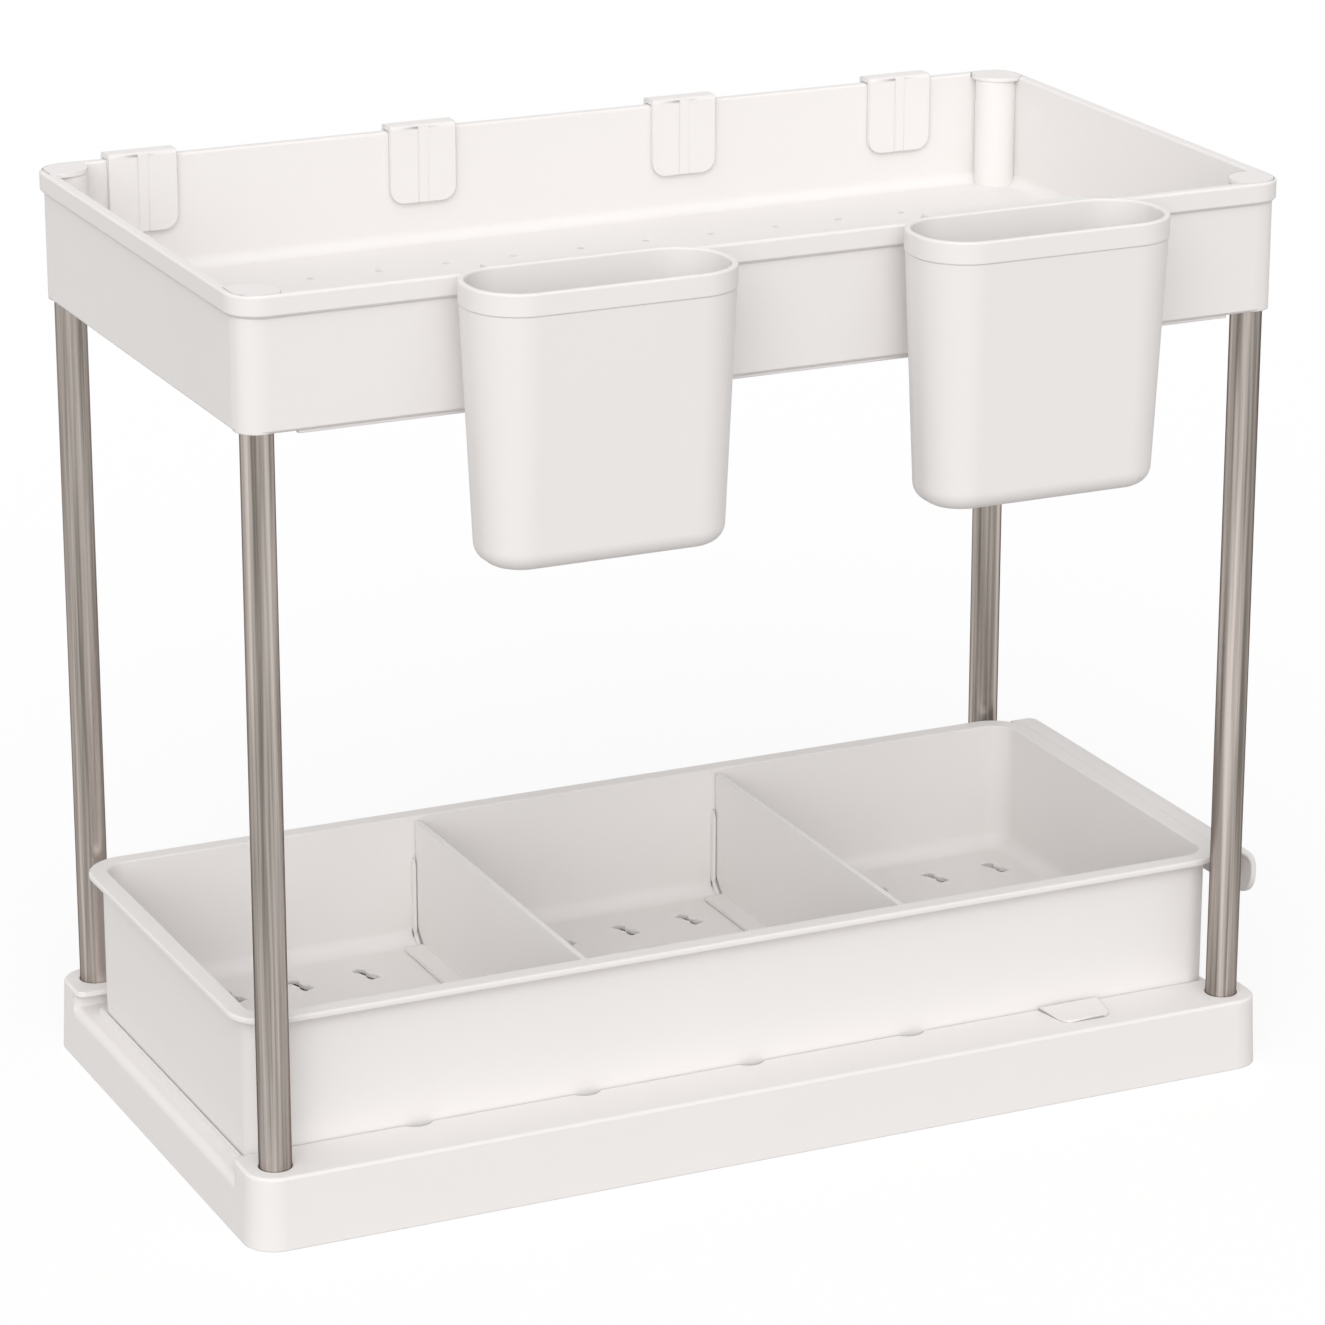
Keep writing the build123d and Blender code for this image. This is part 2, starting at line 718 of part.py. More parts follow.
# Drawer stop: a plate on the front ledge with a leg down into the channel
stop_x = notch_places_x[stop_notch_index]
stop_back_y = -(drawer_half_y + stop_wall_gap)
stop_front_y = stop_back_y - stop_plate_reach
leg_bottom = drawer_bottom + runner_thickness + stop_leg_floor_gap
with BuildPart() as drawer_stop:
    with BuildSketch(Plane.XY.offset(base_height)):
        with BuildLine():
            Polyline(
                (stop_x - stop_rear_width / 2, stop_back_y),
                (stop_x + stop_rear_width / 2, stop_back_y),
                (stop_x + stop_front_width / 2, stop_front_y),
                (stop_x - stop_front_width / 2, stop_front_y),
                close=True,
            )
        make_face()
        fillet(vertices().group_by(Axis.Y)[0], stop_corner_radius)
    extrude(amount=stop_plate_thickness)
    with BuildSketch(Plane.XY.offset(leg_bottom)):
        with Locations((stop_x, -notch_y)):
            Circle(notch_radius - stop_leg_gap)
        with Locations((stop_x, stop_back_y - notch_radius)):
            Rectangle(2 * notch_radius, 2 * notch_radius, mode=Mode.INTERSECT)
    extrude(amount=base_height - leg_bottom)
write_piece(drawer_stop.part, "drawer_stop")
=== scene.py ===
import json
import math

import bmesh
import bpy
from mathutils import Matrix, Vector


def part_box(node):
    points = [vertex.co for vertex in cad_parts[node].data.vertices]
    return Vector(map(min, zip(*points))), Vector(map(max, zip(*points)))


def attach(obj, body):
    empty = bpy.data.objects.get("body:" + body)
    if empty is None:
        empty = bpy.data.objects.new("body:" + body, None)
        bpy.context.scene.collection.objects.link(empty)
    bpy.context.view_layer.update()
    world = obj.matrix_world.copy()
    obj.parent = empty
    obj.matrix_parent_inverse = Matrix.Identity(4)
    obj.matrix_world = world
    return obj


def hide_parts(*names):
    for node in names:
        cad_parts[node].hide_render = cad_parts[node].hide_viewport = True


# Two-tier organizer: looks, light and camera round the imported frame. Lengths are metres.
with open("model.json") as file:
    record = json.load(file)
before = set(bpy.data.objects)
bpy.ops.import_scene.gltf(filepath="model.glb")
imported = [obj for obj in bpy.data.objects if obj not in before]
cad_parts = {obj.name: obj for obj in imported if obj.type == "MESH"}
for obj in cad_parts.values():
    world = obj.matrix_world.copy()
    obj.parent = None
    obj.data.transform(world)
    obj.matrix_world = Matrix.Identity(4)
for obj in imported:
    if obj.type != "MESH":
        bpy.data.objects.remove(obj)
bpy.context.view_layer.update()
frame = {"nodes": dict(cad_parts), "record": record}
nodes = frame["nodes"]


def linear(red, green, blue):
    """Scene colour of a display colour that is given in parts of 255."""
    values = []
    for part in (red, green, blue):
        share = part / 255
        values.append(share / 12.92 if share <= 0.04045 else ((share + 0.055) / 1.055) ** 2.4)
    return (*values, 1.0)


# White moulded plastic
WHITE = (1.0, 1.0, 1.0, 1.0)
PLASTIC_COLOUR = linear(234, 231, 230)
PLASTIC_SHADE = linear(231, 228, 226)
PLASTIC_ROUGHNESS = 0.5
PLASTIC_ROUGHNESS_SPREAD = 0.05
PLASTIC_SPECULAR = 0.3
SOFT_EDGE = 0.0007
SOFT_EDGE_SAMPLES = 6
CLOUD_SCALE = 9.0
WEAR_SCALE = 60.0
GRAIN_SCALE = 1400.0
GRAIN_STRENGTH = 0.05
GRAIN_DEPTH = 0.0002

# Brushed steel: fine brushing streaks, with broad bands of painted reflection in its colour
# The light and dark steel colours hold painted highlight and painted shade as well as the
# brushing's own tone
STEEL_BRIGHT_STREAK_AND_PAINTED_HIGHLIGHT = linear(219, 209, 202)
STEEL_DARK_STREAK_AND_PAINTED_SHADE = linear(122, 116, 109)
STEEL_EDGE_TINT = linear(104, 99, 94)
STEEL_ROUGHNESS = 0.3
STEEL_ROUGHNESS_SPREAD = 0.08
STREAK_STRETCH = 0.012
STREAK_SCALE = 900.0
STREAK_STRENGTH = 0.12
STREAK_DEPTH = 0.0001
PAINTED_REFLECTION_BAND_SCALE = 190.0
PAINTED_REFLECTION_SHARE = 0.65
TONE_LOW = 0.37
TONE_HIGH = 0.63


class Graph:
    """Short form for building the nodes of a material or a world."""

    def __init__(self, owner):
        owner.use_nodes = True
        self.tree = owner.node_tree
        self.tree.nodes.clear()

    def add(self, kind, inputs=None, **settings):
        """New node with its settings made and its inputs linked or set."""
        node = self.tree.nodes.new(kind)
        for key, value in settings.items():
            setattr(node, key, value)
        for key, value in (inputs or {}).items():
            if isinstance(value, bpy.types.NodeSocket):
                self.tree.links.new(value, node.inputs[key])
            else:
                node.inputs[key].default_value = value
        return node

    def noise(self, place, scale, detail):
        node = self.add("ShaderNodeTexNoise", {"Vector": place, "Scale": scale, "Detail": detail})
        return node.outputs["Fac"]

    def blend(self, share, first, second):
        """Colour between two others."""
        inputs = {"Factor": share, "A": first, "B": second}
        return self.add("ShaderNodeMix", inputs, data_type="RGBA").outputs[2]

    def spread(self, value, middle, reach):
        """A 0 to 1 value spread over a range about its middle."""
        inputs = {"Value": value, "To Min": middle - reach, "To Max": middle + reach}
        return self.add("ShaderNodeMapRange", inputs).outputs[0]

    def combine(self, operation, first, second):
        return self.add("ShaderNodeMath", {0: first, 1: second}, operation=operation).outputs[0]

    def looked_at(self):
        """1 for what the camera, a reflection or a view through glass sees, 0 for other light."""
        path = self.add("ShaderNodeLightPath")
        seen = path.outputs["Is Camera Ray"]
        for ray in ("Is Glossy Ray", "Is Transmission Ray"):
            seen = self.combine("MAXIMUM", seen, path.outputs[ray])
        return seen

    def finish(self, shader, kind="ShaderNodeOutputMaterial"):
        self.add(kind, {"Surface": shader})


def make_plastic():
    """Moulded plastic: softened edges, a faint satin grain and hardly any colour change."""
    material = bpy.data.materials.new("white_plastic")
    graph = Graph(material)
    place = graph.add("ShaderNodeTexCoord").outputs["Object"]
    cloud = graph.noise(place, CLOUD_SCALE, detail=2.0)
    wear = graph.noise(place, WEAR_SCALE, detail=4.0)
    grain = graph.noise(place, GRAIN_SCALE, detail=3.0)
    soft = graph.add("ShaderNodeBevel", {"Radius": SOFT_EDGE}, samples=SOFT_EDGE_SAMPLES)
    bump = graph.add(
        "ShaderNodeBump",
        {
            "Strength": GRAIN_STRENGTH,
            "Distance": GRAIN_DEPTH,
            "Height": grain,
            "Normal": soft.outputs["Normal"],
        },
    )
    shader = graph.add(
        "ShaderNodeBsdfPrincipled",
        {
            "Base Color": graph.blend(cloud, PLASTIC_COLOUR, PLASTIC_SHADE),
            "Roughness": graph.spread(wear, PLASTIC_ROUGHNESS, PLASTIC_ROUGHNESS_SPREAD),
            "Normal": bump.outputs["Normal"],
            "Specular IOR Level": PLASTIC_SPECULAR,
        },
    )
    graph.finish(shader.outputs[0])
    return material


def make_steel():
    """Brushed stainless tube: fine streaks along its length, broad bands along it that are
    painted reflections, and darker edges.
    """
    material = bpy.data.materials.new("steel")
    graph = Graph(material)
    place = graph.add("ShaderNodeTexCoord").outputs["Object"]
    stretch = (1.0, 1.0, STREAK_STRETCH)
    stretched = graph.add("ShaderNodeMapping", {"Vector": place, "Scale": stretch}).outputs[0]
    streaks = graph.noise(stretched, STREAK_SCALE, detail=4.0)
    # Broad light and dark bands along the tube are painted reflections; the fine streaks are the
    # brushing
    painted_reflection_bands = graph.noise(stretched, PAINTED_REFLECTION_BAND_SCALE, detail=2.0)
    both = graph.add("ShaderNodeMix", {"Factor": PAINTED_REFLECTION_SHARE, "A": streaks, "B": painted_reflection_bands})
    tone = graph.add(
        "ShaderNodeMapRange",
        {"Value": both.outputs[0], "From Min": TONE_LOW, "From Max": TONE_HIGH},
    )
    bump = graph.add(
        "ShaderNodeBump",
        {"Strength": STREAK_STRENGTH, "Distance": STREAK_DEPTH, "Height": streaks},
    )
    shader = graph.add(
        "ShaderNodeBsdfPrincipled",
        {
            "Base Color": graph.blend(tone.outputs[0], STEEL_DARK_STREAK_AND_PAINTED_SHADE, STEEL_BRIGHT_STREAK_AND_PAINTED_HIGHLIGHT),
            "Metallic": 1.0,
            "Roughness": graph.spread(streaks, STEEL_ROUGHNESS, STEEL_ROUGHNESS_SPREAD),
            "Specular Tint": STEEL_EDGE_TINT,
            "Normal": bump.outputs["Normal"],
        },
    )
    graph.finish(shader.outputs[0])
    return material


SLOT_MATERIALS = {"white_plastic": make_plastic(), "steel": make_steel()}
NODE_SLOTS = {entry["node"]: entry["material_slot"] for entry in frame["record"]["subparts"]}
BODY_PARTS = frame["record"]["behaviour"]["bodies"]
NODE_BODIES = {part: body for body, parts in BODY_PARTS.items() for part in parts}

for name, node in nodes.items():
    node.data.materials.clear()
    node.data.materials.append(SLOT_MATERIALS[NODE_SLOTS[name]])


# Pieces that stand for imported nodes
SMOOTH_ANGLE = math.radians(30)


def new_piece(name, mesh, slot, body, *replaced):
    """Link one piece, put its material on and tie it to the frame."""
    piece = bpy.data.objects.new(name, mesh)
    bpy.context.scene.collection.objects.link(piece)
    mesh.materials.clear()
    mesh.materials.append(SLOT_MATERIALS[slot])
    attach(piece, body)
    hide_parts(*replaced)
    return piece


def stand_in(shape, name):
    """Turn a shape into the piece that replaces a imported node, smooth where it is round."""
    for face in shape.faces:
        face.smooth = True
    mesh = bpy.data.meshes.new(f"{name}_shape")
    shape.to_mesh(mesh)
    shape.free()
    piece = new_piece(f"{name}_shape", mesh, NODE_SLOTS[name], NODE_BODIES[name], name)
    mesh.set_sharp_from_angle(angle=SMOOTH_ANGLE)
    weighted = piece.modifiers.new("even_normals", "WEIGHTED_NORMAL")
    weighted.keep_sharp = True


# Stop and hooks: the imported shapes, changed a little
MERGE_REACH = 0.000002
FLAT_ANGLE = math.radians(0.5)
STOP_SQUEEZE = 0.8
TAB_DEPTH = 0.003
TAB_BEND = 0.010
TAB_RAISE = 0.0022
TAB_CORNER = 0.005
TAB_MIDDLE = 0.008
TAB_ROUND = 0.0022
TAB_ROUND_STEPS = 4
ROUND_PROFILE = 0.5
GROOVE_DEPTH = 0.0006
GROOVE_SHARE = 0.4


def changed_copy(name, adjust):
    """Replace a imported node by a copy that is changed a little."""
    shape = bmesh.new()
    shape.from_mesh(nodes[name].data)
    bmesh.ops.remove_doubles(shape, verts=shape.verts, dist=MERGE_REACH)
    adjust(shape, *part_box(name))
    stand_in(shape, name)


def narrow_stop(shape, low, high):
    """The stop, narrowed about its middle."""
    middle = (low.x + high.x) / 2
    for corner in shape.verts:
        corner.co.x = middle + STOP_SQUEEZE * (corner.co.x - middle)


def round_tab(shape, low, high):
    """The inner tab of a hook: shorter, with a shallower groove and round lower corners."""
    middle = (low.x + high.x) / 2
    tab = []
    for corner in shape.verts:
        if corner.co.y < low.y + TAB_DEPTH and corner.co.z < high.z - TAB_BEND:
            corner.co.z += TAB_RAISE
            tab.append(corner.co.z)
    tab_low = min(tab)
    for corner in shape.verts:
        depth = corner.co.y - low.y
        if MERGE_REACH < depth < GROOVE_DEPTH and abs(corner.co.x - middle) < TAB_MIDDLE:
            corner.co.y = low.y + GROOVE_SHARE * depth
    bmesh.ops.dissolve_limit(
        shape, angle_limit=FLAT_ANGLE, verts=list(shape.verts), edges=list(shape.edges)
    )
    ends = []
    for edge in shape.edges:
        first, second = (corner.co for corner in edge.verts)
        across = abs(first.x - second.x) + abs(first.z - second.z) < MERGE_REACH
        inner = max(first.y, second.y) < low.y + TAB_DEPTH and first.z < tab_low + TAB_CORNER
        if across and inner and abs(first.x - middle) > TAB_MIDDLE:
            ends.append(edge)
    bmesh.ops.bevel(
        shape,
        geom=ends,
        offset=TAB_ROUND,
        segments=TAB_ROUND_STEPS,
        profile=ROUND_PROFILE,
        affect="EDGES",
    )


for name in nodes:
    if name == "drawer_stop":
        changed_copy(name, narrow_stop)
    elif name.startswith("hook_"):
        changed_copy(name, round_tab)


# Steel posts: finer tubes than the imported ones, in the same places
TUBE_STEPS = 96
TUBE_WALL = 0.0008
CORNER_NAMES = ("front_left", "front_right", "rear_left", "rear_right")


def build_tube(corner):
    """One post, with its ends and bore."""
    low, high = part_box(f"post_{corner}")
    centre = (low + high) / 2
    outer = (high.x - low.x) / 2
    inner = outer - TUBE_WALL
    profile = [(outer, low.z), (outer, high.z), (inner, high.z), (inner, low.z)]
    shape = bmesh.new()
    rings = []
    for radius, height in profile:
        ring = []
        for step in range(TUBE_STEPS):
            turn = 2 * math.pi * step / TUBE_STEPS
            x = centre.x + radius * math.cos(turn)
            y = centre.y + radius * math.sin(turn)
            ring.append(shape.verts.new((x, y, height)))
        rings.append(ring)
    for near, far in zip(rings, rings[1:] + rings[:1]):
        for step in range(TUBE_STEPS):
            after = (step + 1) % TUBE_STEPS
            shape.faces.new((near[step], near[after], far[after], far[step])).smooth = True
    bmesh.ops.recalc_face_normals(shape, faces=shape.faces)
    mesh = bpy.data.meshes.new(f"tube_{corner}")
    shape.to_mesh(mesh)
    shape.free()
    mesh.set_sharp_from_angle(angle=SMOOTH_ANGLE)
    new_piece(f"tube_{corner}", mesh, "steel", "frame", f"post_{corner}")


for corner in CORNER_NAMES:
    build_tube(corner)


# Shared helpers for the cups, the drawer and the dividers
QUARTER = math.pi / 2
QUARTERS = ((1, 1), (-1, 1), (-1, -1), (1, -1))
ROUND_STEPS = 8
TURN_STEPS = 20
STRIP_EDGE = 0.0005
SINK = 0.00005


def arc(centre, radius, start, turn, steps=ROUND_STEPS):
    """Points on a round stretch, in short equal steps."""
    angles = [start + turn * step / steps for step in range(steps + 1)]
    return [(centre[0] + radius * math.cos(a), centre[1] + radius * math.sin(a)) for a in angles]


def rounded_ring(centre, half_x, half_y, radius, height):
    """Level outline of a box with round corners."""
    points = []
    for quarter, (side_x, side_y) in enumerate(QUARTERS):
        middle = (centre[0] + side_x * (half_x - radius), centre[1] + side_y * (half_y - radius))
        turned = arc(middle, radius, quarter * QUARTER, QUARTER, TURN_STEPS)
        points += [(x, y, height) for x, y in turned]
    return points


def side_faces(shape, rings):
    """Faces between rings of equal length. Returns the rings of corners."""
    made = [[shape.verts.new(place) for place in ring] for ring in rings]
    for low, high in zip(made, made[1:]):
        for step in range(len(low)):
            after = (step + 1) % len(low)
            shape.faces.new((low[step], low[after], high[after], high[step]))
    return made


def closed_rings(shape, rings):
    """Faces between rings, and one over each end."""
    made = side_faces(shape, rings)
    shape.faces.new(made[0])
    shape.faces.new(made[-1])


def block(shape, outline, offset):
    """Closed block between an outline and its copy at an offset."""
    copy = [tuple(Vector(place) + Vector(offset)) for place in outline]
    closed_rings(shape, [outline, copy])


def folded_strip(shape, place, start, bend, round_out, thickness, tip, half_width, corner, edge):
    """Strip that runs level, bends down and ends in a tip with round corners.

    The function place turns (across, along, height) into a point. The bend is the centre of
    the strip's bend, and its outer side has the radius round_out.
    """
    top = bend[1] + round_out
    end = bend[0] + round_out
    outer = [(start, top)] + arc(bend, round_out, QUARTER, -QUARTER)
    inner = [(start, top - thickness)] + arc(bend, round_out - thickness, QUARTER, -QUARTER)
    widths = [half_width] * len(outer)
    for width, height in arc((half_width - corner, tip + corner), corner, 0, -QUARTER):
        outer.append((end, height))
        inner.append((end - thickness, height))
        widths.append(width)
    rings = []
    for (outer_a, outer_z), (inner_a, inner_z), width in zip(outer, inner, widths):
        ring = []
        for side, depth in ((-1, 0), (1, 0), (1, 1), (-1, 1)):
            inward = edge / thickness if depth == 0 else -edge / thickness
            pair = [(side * (width - edge), depth), (side * width, depth + inward)]
            if (side < 0) == (depth == 0):
                pair.reverse()
            for across, share in pair:
                along = outer_a + share * (inner_a - outer_a)
                height = outer_z + share * (inner_z - outer_z)
                ring.append(place(across, along, height))
        rings.append(ring)
    closed_rings(shape, rings)


def fresh_piece(shape, name):
    """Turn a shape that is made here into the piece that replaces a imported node."""
    bmesh.ops.recalc_face_normals(shape, faces=shape.faces)
    stand_in(shape, name)


# Hanging cups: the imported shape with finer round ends, lips, feet and tongues
CUP_LENGTH = 0.105
CUP_DEPTH = 0.044
CUP_HEIGHT = 0.106
CUP_END_RADIUS = 0.020
CUP_TAPER = 0.004
CUP_STRAIGHT = 0.003
CUP_WALL = 0.002
CUP_FLOOR = 0.0022
CUP_FOOT_ROUND = 0.0075
CUP_BAND_HEIGHT = 0.0085
CUP_BAND_PROUD = 0.0005
CUP_BAND_ROUND = 0.0003
CUP_LIP_ROUND = 0.0008
TONGUE_LENGTH = 0.068
TONGUE_THICKNESS = 0.002
TONGUE_BEND = 0.0023
TONGUE_DROP = 0.016
TONGUE_CORNER = 0.006


def cup_profile(top):
    """Inset and height along the wall: up the inside, over the lip and down to the foot."""
    foot = top - CUP_HEIGHT
    floor = foot + CUP_FLOOR
    inside = CUP_WALL + CUP_TAPER
    inner_foot = CUP_FOOT_ROUND - CUP_WALL
    outer_foot = (CUP_TAPER + CUP_FOOT_ROUND, foot + CUP_FOOT_ROUND)
    lip = CUP_LIP_ROUND
    band = CUP_BAND_ROUND
    band_foot = top - CUP_BAND_HEIGHT
    points = arc((inside + inner_foot, floor + inner_foot), inner_foot, -QUARTER, -QUARTER)
    points += arc((CUP_WALL - lip, top - lip), lip, 0, QUARTER)
    points += arc((lip - CUP_BAND_PROUD, top - lip), lip, QUARTER, QUARTER)
    points += arc((band - CUP_BAND_PROUD, band_foot + band), band, math.pi, QUARTER)
    points += [(0, band_foot), (0, band_foot - CUP_STRAIGHT)]
    points += arc(outer_foot, CUP_FOOT_ROUND, math.pi, QUARTER)
    return points


def build_cup(name):
    """One cup with its tongue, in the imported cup's place."""
    low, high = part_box(name)
    front = low.y + CUP_BAND_PROUD
    centre = ((low.x + high.x) / 2, front + CUP_DEPTH / 2)
    rings = []
    for inset, height in cup_profile(high.z):
        half_x, half_y = CUP_LENGTH / 2 - inset, CUP_DEPTH / 2 - inset
        rings.append(rounded_ring(centre, half_x, half_y, CUP_END_RADIUS - inset, height))
    shape = bmesh.new()
    closed_rings(shape, rings)
    top = high.z - SINK
    folded_strip(
        shape,
        place=lambda across, along, height: (centre[0] + across, along, height),
        start=front + CUP_DEPTH - CUP_WALL / 2,
        bend=(high.y - TONGUE_BEND, top - TONGUE_BEND),
        round_out=TONGUE_BEND,
        thickness=TONGUE_THICKNESS,
        tip=top - TONGUE_DROP,
        half_width=TONGUE_LENGTH / 2,
        corner=TONGUE_CORNER,
        edge=STRIP_EDGE,
    )
    fresh_piece(shape, name)


for name in nodes:
    if name.startswith("cup_"):
        build_cup(name)


# Drawer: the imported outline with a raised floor, two-lobed drains and finer rounds
DRAWER_HALF_X = 0.211
DRAWER_HALF_Y = 0.090
DRAWER_CORNER = 0.012
DRAWER_WALL = 0.0022
DRAWER_LOW = 0.0218
DRAWER_TOP = 0.085
DRAWER_FLOOR_LOW = 0.0266
DRAWER_FLOOR_TOP = 0.0288
DRAWER_FLOOR_ROUND = 0.007
DRAWER_FOOT_ROUND = 0.0012
RIM_OVERHANG = 0.0055
RIM_THICKNESS = 0.0028
RIM_ROUND = 0.0009
RIM_INNER_ROUND = 0.0006
PULL_REACH = 0.015
PULL_START = 0.003
PULL_DROP = 0.023
PULL_THICKNESS = 0.0025
PULL_BEND = 0.010
PULL_HALF_WIDTH = 0.090
PULL_CORNER = 0.010
RUNNER_REACH = 0.0043
RUNNER_HEIGHT = 0.0016
LUG_LENGTH = 0.018
LUG_HEIGHT = 0.0049
DIVIDER_PLACES = {"divider_left": -0.0696, "divider_right": 0.0696}
RIB_OFFSET = 0.00245
RIB_WIDTH = 0.0016
RIB_DEPTH = 0.002
RIB_HEIGHT = 0.035
RIB_POINT = 0.003
RIB_FOOT_CUT = 0.0085
DRAIN_ROWS = 5
DRAIN_COLUMNS = 14
DRAIN_PITCH_X = 0.0296
DRAIN_PITCH_Y = 0.0315
DRAIN_CLEARANCE = 0.008
DRAIN_TURN = math.radians(-70)
DRAIN_QUARTER = ((0.0065, 0.0019), (0.0059, 0.0025), (0.0034, 0.0025), (0.0018, 0.0014))
DRAIN_EDGE = 0.0005


def drawer_ring(inset, height):
    """Level outline of the drawer, with its walls set in."""
    half_x, half_y = DRAWER_HALF_X - inset, DRAWER_HALF_Y - inset
    return rounded_ring((0, 0), half_x, half_y, DRAWER_CORNER - inset, height)


def drawer_profile():
    """Inset and height from the floor's underside, round the foot and rim, to the floor's top."""
    foot = (DRAWER_FOOT_ROUND, DRAWER_LOW + DRAWER_FOOT_ROUND)
    rim_low = DRAWER_TOP - RIM_THICKNESS
    rim_edge = RIM_ROUND - RIM_OVERHANG
    inner_edge = (DRAWER_WALL - RIM_INNER_ROUND, DRAWER_TOP - RIM_INNER_ROUND)
    floor_edge = (DRAWER_WALL + DRAWER_FLOOR_ROUND, DRAWER_FLOOR_TOP + DRAWER_FLOOR_ROUND)
    points = [(DRAWER_WALL, DRAWER_FLOOR_LOW), (DRAWER_WALL, DRAWER_LOW)]
    points += arc(foot, DRAWER_FOOT_ROUND, -QUARTER, -QUARTER)
    points += [(0, rim_low)]
    points += arc((rim_edge, rim_low + RIM_ROUND), RIM_ROUND, -QUARTER, -QUARTER)
    points += arc((rim_edge, DRAWER_TOP - RIM_ROUND), RIM_ROUND, math.pi, -QUARTER)
    points += arc(inner_edge, RIM_INNER_ROUND, QUARTER, -QUARTER)
    points += arc(floor_edge, DRAWER_FLOOR_ROUND, math.pi, QUARTER)
    return points


def drain_ring(place, grow, height):
    """Outline of one slanting drain: two lobes joined by a neck."""
    quarter = [(x + grow, y + grow) for x, y in DRAIN_QUARTER]
    upper = quarter + [(-x, y) for x, y in reversed(quarter)]
    outline = upper + [(-x, -y) for x, y in upper]
    cos, sin = math.cos(DRAIN_TURN), math.sin(DRAIN_TURN)
    return [
        (place[0] + x * cos - y * sin, place[1] + x * sin + y * cos, height) for x, y in outline
    ]


def pierced_face(shape, loops):
    """Flat face inside the first loop of corners, with the others left open."""
    edges = []
    for loop in loops:
        for before, corner in zip(loop[-1:] + loop[:-1], loop):
            edges.append(shape.edges.get((before, corner)) or shape.edges.new((before, corner)))
    bmesh.ops.triangle_fill(shape, use_beauty=True, edges=edges)


def centred_line(count, pitch):
    """Evenly spaced places about 0."""
    return [pitch * (step - (count - 1) / 2) for step in range(count)]


def drain_places():
    """Centres of the drains, with none near a divider."""
    places = []
    for x in centred_line(DRAIN_COLUMNS, DRAIN_PITCH_X):
        if min(abs(x - divider) for divider in DIVIDER_PLACES.values()) > DRAIN_CLEARANCE:
            places += [(x, y) for y in centred_line(DRAIN_ROWS, DRAIN_PITCH_Y)]
    return places


def add_guide_ribs(shape):
    """Pointed ribs in pairs at both ends of each divider, with a slanted foot."""
    inner_y = DRAWER_HALF_Y - DRAWER_WALL
    low = DRAWER_FLOOR_TOP - DRAWER_WALL / 2
    top = DRAWER_FLOOR_TOP + RIB_HEIGHT
    for divider in DIVIDER_PLACES.values():
        for step in (-1, 1):
            middle = divider + step * RIB_OFFSET
            left, right = middle - RIB_WIDTH / 2, middle + RIB_WIDTH / 2
            tip = (middle, top + RIB_POINT)
            outline = [(left, low), (right, low), (right, top), tip, (left, top)]
            for side in (-1, 1):
                face_y = side * (inner_y - RIB_DEPTH)
                wall_y = side * (inner_y + DRAWER_WALL / 2)
                foot_y = side * (inner_y - RIB_FOOT_CUT)
                block(shape, [(x, face_y, z) for x, z in outline], (0, wall_y - face_y, 0))
                slant = [(wall_y, low), (wall_y, low + RIB_FOOT_CUT), (foot_y, low)]
                block(shape, [(left, y, z) for y, z in slant], (RIB_WIDTH, 0, 0))


def add_runners(shape):
    """Runners along the foot of the long sides, with a taller lug at the rear end."""
    half = DRAWER_HALF_X - DRAWER_CORNER
    low = DRAWER_LOW + SINK
    for side in (-1, 1):
        inner = side * (DRAWER_HALF_Y - DRAWER_WALL / 2)
        outer = side * (DRAWER_HALF_Y + RUNNER_REACH)
        for end, thickness in ((half, RUNNER_HEIGHT), (LUG_LENGTH - half, LUG_HEIGHT)):
            high = DRAWER_LOW + thickness
            outline = [(inner, low), (outer, low), (outer, high), (inner, high)]
            block(shape, [(-half, y, z) for y, z in outline], (end + half, 0, 0))


def build_drawer():
    """The drawer with its rim, drains, guide ribs, runners and finger pull."""
    shape = bmesh.new()
    rings = side_faces(shape, [drawer_ring(inset, height) for inset, height in drawer_profile()])
    lower, upper = [rings[0]], [rings[-1]]
    for place in drain_places():
        drain = [
            drain_ring(place, DRAIN_EDGE, DRAWER_FLOOR_TOP),
            drain_ring(place, 0, DRAWER_FLOOR_TOP - DRAIN_EDGE),
            drain_ring(place, 0, DRAWER_FLOOR_LOW),
        ]
        top, _, bottom = side_faces(shape, drain)
        upper.append(top)
        lower.append(bottom)
    pierced_face(shape, upper)
    pierced_face(shape, lower)
    add_guide_ribs(shape)
    add_runners(shape)
    edge_x = DRAWER_HALF_X + RIM_OVERHANG
    folded_strip(
        shape,
        place=lambda across, along, height: (along, across, height),
        start=edge_x - PULL_START,
        bend=(edge_x + PULL_REACH - PULL_BEND, DRAWER_TOP - SINK - PULL_BEND),
        round_out=PULL_BEND,
        thickness=PULL_THICKNESS,
        tip=DRAWER_TOP - PULL_DROP,
        half_width=PULL_HALF_WIDTH,
        corner=PULL_CORNER,
        edge=STRIP_EDGE,
    )
    fresh_piece(shape, "drawer")


build_drawer()


# Dividers: plates with cut lower corners and a foot along the raised floor
DIVIDER_THICKNESS = 0.0026
DIVIDER_TOP_GAP = 0.002
DIVIDER_HALF_LENGTH = 0.08745
DIVIDER_GAP = 0.0003
DIVIDER_FOOT_WIDTH = 0.0114
DIVIDER_FOOT_THICKNESS = 0.0016


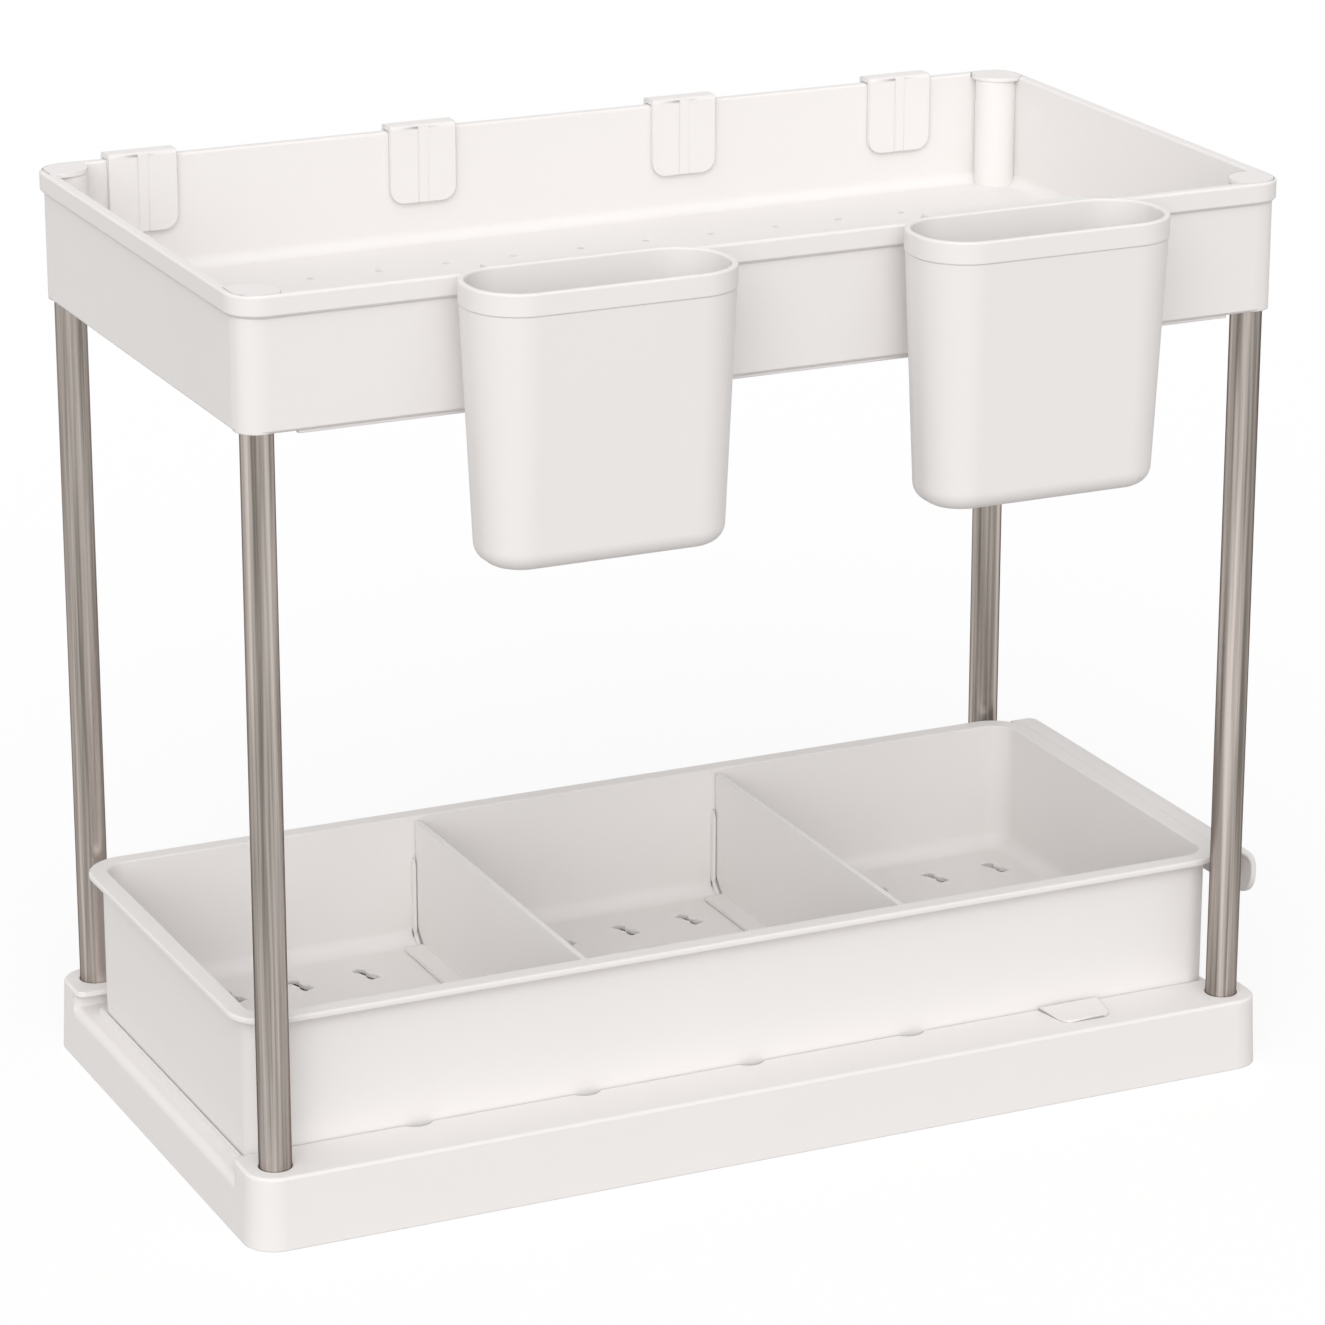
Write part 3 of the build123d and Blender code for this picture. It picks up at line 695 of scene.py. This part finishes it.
def build_divider(name):
    """One divider, on its own body."""
    right = DIVIDER_PLACES[name] + DIVIDER_THICKNESS / 2
    low = DRAWER_FLOOR_TOP + DIVIDER_GAP
    top = DRAWER_TOP - DIVIDER_TOP_GAP
    cut = low + RIB_FOOT_CUT
    half = DIVIDER_HALF_LENGTH
    foot_half = half - RIB_FOOT_CUT
    foot_top = low + DIVIDER_FOOT_THICKNESS
    plate = [(-half, top), (half, top), (half, cut), (foot_half, low), (-foot_half, low)]
    plate.append((-half, cut))
    foot = [(-foot_half, low), (foot_half, low), (foot_half, foot_top), (-foot_half, foot_top)]
    shape = bmesh.new()
    block(shape, [(right, y, z) for y, z in plate], (-DIVIDER_THICKNESS, 0, 0))
    block(shape, [(right - SINK, y, z + SINK) for y, z in foot], (-DIVIDER_FOOT_WIDTH, 0, 0))
    fresh_piece(shape, name)


for name in DIVIDER_PLACES:
    build_divider(name)


# Floor, sky and lamps: white to the eye, at a plain level for the light on the object
FLOOR_SIZE = 24.0
FLOOR_SHOWS_SHADOW = 0.2
FLOOR_BOUNCE = linear(190, 188, 187)
SKY_COLOUR = (1.0, 0.995, 0.99, 1.0)
SKY_LEVEL = 0.62
# Name, direction that the light comes from, its width in degrees and its strength
SOFT_LIGHTS = (
    ("light_main", (-0.42, -0.9, 0.5), 50, 1.3),
    ("light_left", (-1.0, -0.35, 0.6), 60, 0.44),
    ("light_high", (0.0, -1.0, 1.6), 60, 0.45),
)


def make_floor():
    """Wide pale floor that keeps part of the object's shadow."""
    material = bpy.data.materials.new("floor")
    graph = Graph(material)
    camera = graph.add("ShaderNodeLightPath").outputs["Is Camera Ray"]
    tone = graph.blend(camera, FLOOR_BOUNCE, WHITE)
    matte = graph.add("ShaderNodeBsdfDiffuse", {"Color": tone})
    glow = graph.add("ShaderNodeEmission", {"Color": WHITE, "Strength": 1.0})
    share = graph.combine("MULTIPLY", graph.looked_at(), 1 - FLOOR_SHOWS_SHADOW)
    shader = graph.add(
        "ShaderNodeMixShader", {0: share, 1: matte.outputs[0], 2: glow.outputs[0]}
    )
    graph.finish(shader.outputs[0])
    mesh = bpy.data.meshes.new("floor")
    half = FLOOR_SIZE / 2
    corners = [(-half, -half, 0), (half, -half, 0), (half, half, 0), (-half, half, 0)]
    mesh.from_pydata(corners, [], [(0, 1, 2, 3)])
    mesh.materials.append(material)
    floor = bpy.data.objects.new("floor", mesh)
    bpy.context.scene.collection.objects.link(floor)


def make_world():
    """Even sky for the light, white where the camera or a reflection looks at it."""
    world = bpy.data.worlds.new("studio")
    graph = Graph(world)
    sky = graph.add("ShaderNodeBackground", {"Color": SKY_COLOUR, "Strength": SKY_LEVEL})
    white = graph.add("ShaderNodeBackground", {"Color": WHITE})
    seen = graph.looked_at()
    shader = graph.add("ShaderNodeMixShader", {0: seen, 1: sky.outputs[0], 2: white.outputs[0]})
    graph.finish(shader.outputs[0], "ShaderNodeOutputWorld")
    bpy.context.scene.world = world


def make_lights():
    """Broad soft lights from the front, the left and above."""
    for name, come_from, size, strength in SOFT_LIGHTS:
        light = bpy.data.lights.new(name, "SUN")
        light.energy = strength
        light.angle = math.radians(size)
        lamp = bpy.data.objects.new(name, light)
        lamp.rotation_mode = "QUATERNION"
        lamp.rotation_quaternion = Vector(come_from).to_track_quat("Z", "Y")
        bpy.context.scene.collection.objects.link(lamp)


# Camera at the photograph's viewing angle
CAMERA_PLACE = (-0.832449, -1.802784, 0.838270)
CAMERA_PITCH = 0.324806
CAMERA_YAW = 0.433877
CAMERA_LENS = 140.842
CAMERA_SENSOR = 36.0


def make_camera():
    data = bpy.data.cameras.new("camera")
    data.sensor_width = CAMERA_SENSOR
    data.lens = CAMERA_LENS
    camera = bpy.data.objects.new("camera", data)
    camera.location = CAMERA_PLACE
    camera.rotation_euler = (math.pi / 2 - CAMERA_PITCH, 0.0, -CAMERA_YAW)
    bpy.context.scene.collection.objects.link(camera)
    bpy.context.scene.camera = camera


make_floor()
make_world()
make_lights()
make_camera()
bpy.context.scene.view_settings.view_transform = "Standard"
